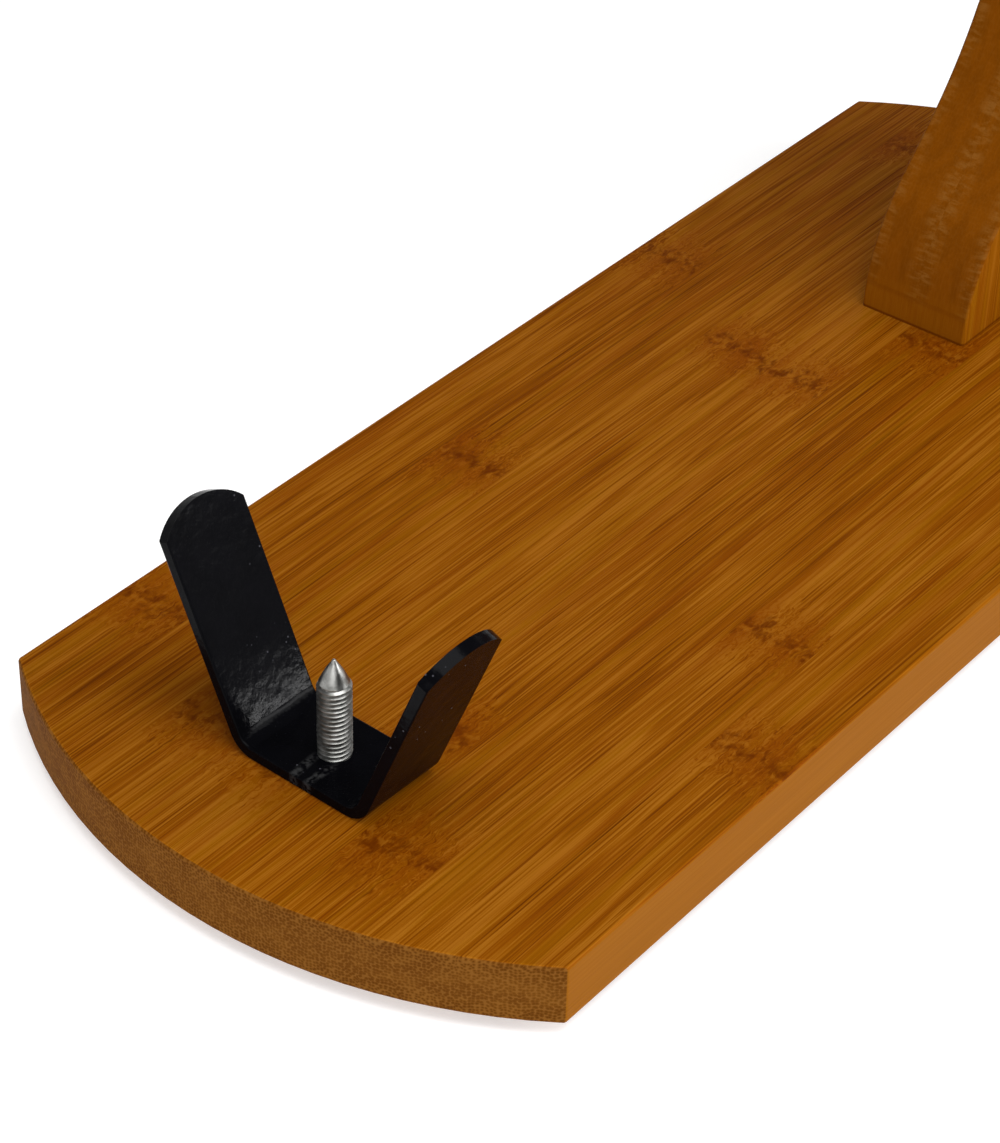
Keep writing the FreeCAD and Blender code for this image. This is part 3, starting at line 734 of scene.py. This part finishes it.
def threaded(bm, low, high, radius, depth, pitch, fade):
    """A right-hand thread between two heights, which fades into its root at both ends."""
    turns = math.ceil((high - low) / pitch) + 1
    grid = []
    for turn in range(-1, turns):
        for share in THREAD_SHARES:
            row = []
            for step in range(TURN_STEPS + 1):
                angle = 2 * math.pi * step / TURN_STEPS
                height = low + pitch * (turn + share + step / TURN_STEPS)
                height = min(max(height, low), high)
                ends = min(height - low, high - height) / fade
                stand = thread_form(share) * min(max(ends, 0.0), 1.0)
                out = radius - depth + depth * stand
                row.append(bm.verts.new((out * math.cos(angle), out * math.sin(angle), height)))
            grid.append(row)
    for first, second in zip(grid, grid[1:]):
        for step in range(TURN_STEPS):
            bm.faces.new((first[step], first[step + 1], second[step + 1], second[step]))


def turned(bm, rows, steps=TURN_STEPS):
    """A turned surface through (radius, height) rows."""
    return lathe_rows(bm, rows, steps, lambda row, angle: row)


def spike(material):
    low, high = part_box("spike_stud")
    centre = (low + high) / 2
    radius = (high.x - low.x) / 2
    shoulder = high.z - SPIKE_POINT
    root = radius - M8_DEPTH
    bm = bmesh.new()
    threaded(bm, low.z + SPIKE_CHAMFER, shoulder, radius, M8_DEPTH, M8_PITCH, M8_PITCH * 0.5)
    rows = [(root, shoulder), (SPIKE_CONE_RADIUS, shoulder + SPIKE_SHOULDER)]
    for step in range(1, SPIKE_CONE_STEPS + 1):
        share = step / SPIKE_CONE_STEPS
        out = SPIKE_CONE_RADIUS + (SPIKE_TIP_RADIUS - SPIKE_CONE_RADIUS) * share
        belly = SPIKE_BELLY * math.sin(math.pi * share)
        rows.append((out + belly, shoulder + (SPIKE_POINT - SPIKE_TIP_RADIUS * 0.8) * share))
    tip = rows[-1][1]
    for share in (0.35, 0.7, 0.95):
        rows.append((SPIKE_TIP_RADIUS * math.sqrt(1 - share ** 2), tip + (high.z - tip) * share))
    rows.append((SPIKE_TIP_RADIUS * 0.1, high.z))
    turned(bm, rows)
    turned(bm, [(root - SPIKE_CHAMFER, low.z), (root, low.z + SPIKE_CHAMFER)])
    mesh = finished("spike_thread", bm, Matrix.Translation((centre.x, centre.y, 0)), 28.0)
    piece("spike_thread", mesh, material, "stand", "zinc_stud", "spike_stud")


def clamp_thread(material):
    """The clamp screw: a ball and neck in the pad, a thread, and a chamfered end."""
    low, high = along("clamp_screw", CLAMP_UP, CLAMP_AT)
    shank = low + BALL_RADIUS + BALL_BELOW_TOP + NECK_LENGTH
    root = M8_RADIUS - M8_DEPTH
    thread_low = shank + SCREW_CHAMFER
    thread_high = high - SCREW_CHAMFER
    bm = bmesh.new()
    threaded(bm, thread_low, thread_high, M8_RADIUS, M8_DEPTH, M8_PITCH, M8_PITCH * 0.7)
    rows = []
    for step in range(1, BALL_STEPS + 1):
        angle = math.pi * (step / BALL_STEPS * BALL_ARC - 0.5)
        rows.append((BALL_RADIUS * math.cos(angle), low + BALL_RADIUS + BALL_RADIUS * math.sin(angle)))
    rows.append((NECK_RADIUS, rows[-1][1]))
    rows += [(NECK_RADIUS, shank), (root - SCREW_CHAMFER * 0.5, shank), (root, thread_low)]
    rings = turned(bm, rows)
    bm.faces.new(reversed(rings[0]))
    turned(bm, [(root, thread_high), (root - SCREW_CHAMFER * 0.75, high)])
    mesh = finished("clamp_thread", bm, CLAMP_FRAME, 28.0)
    piece("clamp_thread", mesh, material, "clamp", "zinc_stud", "clamp_screw")


def knob(material):
    """A lobed knob with fine ribs round its lobes, open underneath for its insert."""
    low, high = along("clamp_knob", CLAMP_UP, CLAMP_AT)
    side_low, side_high = along("clamp_knob", CLAMP_SIDE, CLAMP_AT)
    outer = (side_high - side_low) / 2

    def surface(row, angle):
        share, level = row
        lobed = max(0.0, share - KNOB_HUB) / (1 - KNOB_HUB)
        hollow = (0.5 + 0.5 * math.cos(KNOB_LOBES * angle)) ** 1.6
        radius = share * outer * (1 - KNOB_HOLLOW * hollow * lobed ** 0.8)
        rib = 0.0
        if KNOB_RIB_LEVELS[0] < level < KNOB_RIB_LEVELS[1]:
            rib = KNOB_RIB_HEIGHT * math.cos(KNOB_RIBS * angle) * (1 - hollow) * lobed
        return radius + rib, low + level * (high - low)

    bm = bmesh.new()
    rings = lathe_rows(bm, KNOB_SIDE, KNOB_STEPS, surface)
    bm.faces.new(rings[0])
    foot = KNOB_SIDE[-1][0] * outer
    pocket = [(foot, low), (INSERT_RADIUS, low), (INSERT_RADIUS, low + INSERT_LENGTH)]
    rings = turned(bm, pocket, KNOB_STEPS)
    bm.faces.new(rings[-1])
    mesh = finished("knob_body", bm, CLAMP_FRAME, 32.0)
    piece("knob_body", mesh, material, "clamp", "knob_plastic", "clamp_knob")


def weld_bead(material):
    """The weld between the threaded boss and the ring, which follows the ring's curve."""
    centre = along("hoof_ring", CLAMP_UP, CLAMP_AT)[1] - RING_OUTER
    rings = []
    bm = bmesh.new()
    for step in range(BEAD_STEPS):
        angle = 2 * math.pi * step / BEAD_STEPS
        ripples = [size * math.cos(count * angle) for count, size in BEAD_RIPPLES]
        radius = BEAD_RADIUS * sum(ripples, 1.0)
        outward = Vector((math.cos(angle), math.sin(angle), 0))
        middle = BOSS_RADIUS * outward
        middle.z = centre + math.sqrt(RING_OUTER ** 2 - middle.y ** 2)
        ring = []
        for side in range(BEAD_SIDES):
            turn = 2 * math.pi * side / BEAD_SIDES
            at = middle + outward * (radius * math.cos(turn))
            ring.append(bm.verts.new(at + Vector((0, 0, radius * math.sin(turn)))))
        rings.append(ring)
    for index, ring in enumerate(rings):
        following = rings[(index + 1) % BEAD_STEPS]
        for side in range(BEAD_SIDES):
            after = (side + 1) % BEAD_SIDES
            bm.faces.new((ring[side], ring[after], following[after], following[side]))
    mesh = finished("boss_weld", bm, CLAMP_FRAME)
    piece("boss_weld", mesh, material, "stand", "black_coat")


def islands(node):
    """The separate solids of a CAD node, each as a list of points."""
    bm = bmesh.new()
    bm.from_mesh(frame["nodes"][node].data)
    bmesh.ops.remove_doubles(bm, verts=bm.verts, dist=1e-6)
    left = set(bm.verts)
    found = []
    while left:
        todo = [left.pop()]
        points = []
        while todo:
            vert = todo.pop()
            points.append(vert.co.copy())
            for edge in vert.link_edges:
                other = edge.other_vert(vert)
                if other in left:
                    left.remove(other)
                    todo.append(other)
        found.append(points)
    bm.free()
    return sorted(found, key=lambda points: tuple(round(c, 4) for c in sum(points, Vector()) / len(points)))


def add_pan_screw(bm, matrix, length, radius, head, point):
    """One wood screw from its head's top at 0 to its point at length."""
    head_radius, head_height = head
    part = bmesh.new()
    rows = []
    for step in range(DOME_STEPS + 1):
        angle = math.pi / 2 * step / DOME_STEPS
        out = DOME_EDGE + (1 - DOME_EDGE) * math.sin(angle)
        rows.append((head_radius * out, head_height * DOME_SHARE * (1 - math.cos(angle))))
    rows += [(head_radius, head_height * 0.97), (head_radius - HEAD_EASE, head_height)]
    rings = turned(part, rows + [(radius, head_height)])
    part.faces.new(rings[0])
    root = radius - WOOD_DEPTH
    neck = head_height + SHANK_LENGTH
    taper = length - point
    turned(part, [(radius, head_height), (radius, neck - RUN_OUT), (root, neck)])
    threaded(part, neck, taper, radius, WOOD_DEPTH, WOOD_PITCH, WOOD_PITCH)
    tip = turned(part, [(root, taper), (TIP_RADIUS, length)])
    part.faces.new(tip[-1])
    mesh = finished("screw_part", part, matrix, 35.0)
    bm.from_mesh(mesh)
    bpy.data.meshes.remove(mesh)


def cross_cutter(reach, width, depth):
    """A cross-shaped recess, narrower at its bottom, to be cut from a head's top at 0."""
    bm = bmesh.new()
    top = []
    bottom = []
    for quarter in range(4):
        turn = Matrix.Rotation(quarter * math.pi / 2, 4, "Z")
        for x, y in ((reach, -width), (reach, width), (width, width)):
            taper = RECESS_LENGTH_TAPER if x == reach else RECESS_WIDTH_TAPER
            top.append(bm.verts.new(turn @ Vector((x, y, -RECESS_ABOVE))))
            bottom.append(bm.verts.new(turn @ Vector((x * taper, y * RECESS_WIDTH_TAPER, depth))))
    count = len(top)
    for index in range(count):
        after = (index + 1) % count
        bm.faces.new((top[index], top[after], bottom[after], bottom[index]))
    bm.faces.new(top)
    bm.faces.new(reversed(bottom))
    return finished("cross_cutter", bm)


def wood_screws(screws, axis, material):
    """Replaces a CAD group of screws. axis points from the heads to the points."""
    name, node, radius, head, point = screws
    head_radius, head_height = head
    recess_length, recess_width, recess_depth = RECESS
    across = Vector((0, 1, 0))
    bm = bmesh.new()
    cutters = bmesh.new()
    for points in islands(node):
        reach = [p.dot(axis) for p in points]
        flat = [p - axis * p.dot(axis) for p in points]
        low = Vector([min(p[i] for p in flat) for i in range(3)])
        high = Vector([max(p[i] for p in flat) for i in range(3)])
        matrix = axis_matrix((low + high) / 2 + axis * min(reach), axis, across)
        add_pan_screw(bm, matrix, max(reach) - min(reach), radius, head, point)
        cutter = cross_cutter(
            head_radius * recess_length, head_radius * recess_width, head_height * recess_depth
        )
        cutter.transform(matrix)
        cutters.from_mesh(cutter)
        bpy.data.meshes.remove(cutter)
    mesh = bpy.data.meshes.new(name)
    bm.to_mesh(mesh)
    bm.free()
    cut_with(piece(name, mesh, material, "stand", "zinc_screws", node), cutters)


def cut_with(obj, cutters):
    """Cuts a bmesh out of an object."""
    mesh = bpy.data.meshes.new("cutters")
    cutters.to_mesh(mesh)
    cutters.free()
    tool = bpy.data.objects.new("cutters", mesh)
    bpy.context.scene.collection.objects.link(tool)
    modifier = obj.modifiers.new("recess", "BOOLEAN")
    modifier.object = tool
    modifier.operation = "DIFFERENCE"
    modifier.solver = "EXACT"
    bpy.context.view_layer.update()
    evaluated = obj.evaluated_get(bpy.context.evaluated_depsgraph_get())
    cut = bpy.data.meshes.new_from_object(evaluated)
    obj.modifiers.clear()
    obj.data = cut
    bpy.data.objects.remove(tool)


# ---------------------------------------------------------------- stage

def softbox(name, at, target, size, power, spread):
    """A rectangular light aimed at a target, which the camera doesn't see."""
    light = bpy.data.lights.new(name, "AREA")
    light.shape = "RECTANGLE"
    light.size, light.size_y = size
    light.energy = power
    light.spread = math.radians(spread)
    obj = bpy.data.objects.new(name, light)
    obj.location = at
    obj.rotation_euler = (Vector(target) - Vector(at)).to_track_quat("-Z", "Y").to_euler()
    obj.visible_camera = False
    bpy.context.scene.collection.objects.link(obj)


def studio():
    """A pale floor with walls far behind it, and soft lights."""
    reach = FLOOR_REACH
    corners = [(-reach, -reach), (reach, -reach), (reach, reach), (-reach, reach)]
    points = [(x, y, z) for z in (0.0, WALL_HEIGHT) for x, y in corners]
    walls = [(i, (i + 1) % 4, (i + 1) % 4 + 4, i + 4) for i in range(4)]
    mesh = bpy.data.meshes.new("floor")
    mesh.from_pydata(points, [], [(0, 1, 2, 3)] + walls)
    mesh.materials.append(floor_paper())
    floor = bpy.data.objects.new("floor", mesh)
    bpy.context.scene.collection.objects.link(floor)
    world = bpy.data.worlds.new("studio")
    world.use_nodes = True
    background = world.node_tree.nodes["Background"]
    background.inputs["Color"].default_value = (1.0, 1.0, 1.0, 1.0)
    background.inputs["Strength"].default_value = WORLD_LIGHT
    bpy.context.scene.world = world
    for light in SOFTBOXES:
        softbox(*light)
    bpy.context.scene.view_settings.view_transform = "Standard"


def camera():
    """The camera, from its place, heading, tilt down and roll."""
    heading = math.radians(CAMERA_HEADING)
    down = math.radians(CAMERA_DOWN)
    level = Vector((math.cos(heading), math.sin(heading), 0.0))
    forward = level * math.cos(down) - Vector((0.0, 0.0, math.sin(down)))
    right = Vector((math.sin(heading), -math.cos(heading), 0.0))
    turn = Matrix((right, right.cross(forward), -forward)).transposed().to_4x4()
    roll = Matrix.Rotation(math.radians(CAMERA_ROLL), 4, "Z")
    data = bpy.data.cameras.new("camera")
    data.sensor_width = CAMERA_SENSOR
    data.lens = CAMERA_LENS
    data.clip_start = CAMERA_NEAREST
    obj = bpy.data.objects.new("camera", data)
    obj.matrix_world = Matrix.Translation(CAMERA_AT) @ turn @ roll
    bpy.context.scene.collection.objects.link(obj)
    bpy.context.scene.camera = obj


# ---------------------------------------------------------------- finishes

def coat(material, *nodes):
    """Gives CAD nodes a better material."""
    for node in nodes:
        mesh = frame["nodes"][node].data
        mesh.materials.clear()
        mesh.materials.append(material)


def dress():
    """Gives every CAD node its material, and builds the pieces that replace some of them."""
    black = powder_coat("black_powder_coat", False)
    streaked = powder_coat("streaked_powder_coat", True)
    bright = zinc("bright_zinc", (0.18, 0.18, 0.17), (0.35, 0.35, 0.335), 0.27)
    worn = zinc("worn_zinc", (0.30, 0.30, 0.29), (0.52, 0.52, 0.50), 0.28)
    coat(board_bamboo(), "base_board")
    for ply in ("post_ply_left", "post_ply_right"):
        coat(post_bamboo(ply), ply)
    coat(beech(), "post_dowels")
    coat(rubber("foot_rubber", 0.012), *FEET)
    coat(streaked, "front_rest_bracket")
    coat(black, "hoof_ring", "clamp_boss")
    coat(bright, "spike_nut", "knob_lock_nut")
    coat(worn, "spike_washer", "post_screw_washers", "ring_washers", "pressure_pad")
    coat(rubber("pad_rubber", 0.016), "pad_face")
    coat(turned_brass(), "knob_insert")
    spike(bright)
    clamp_thread(bright)
    knob(moulded_plastic())
    weld_bead(black)
    wood_screws(FOOT_SCREWS, Vector((0, 0, 1)), worn)
    wood_screws(POST_SCREWS, Vector((0, 0, 1)), worn)
    wood_screws(RING_SCREWS, -CLAMP_UP, worn)


camera()
studio()
dress()
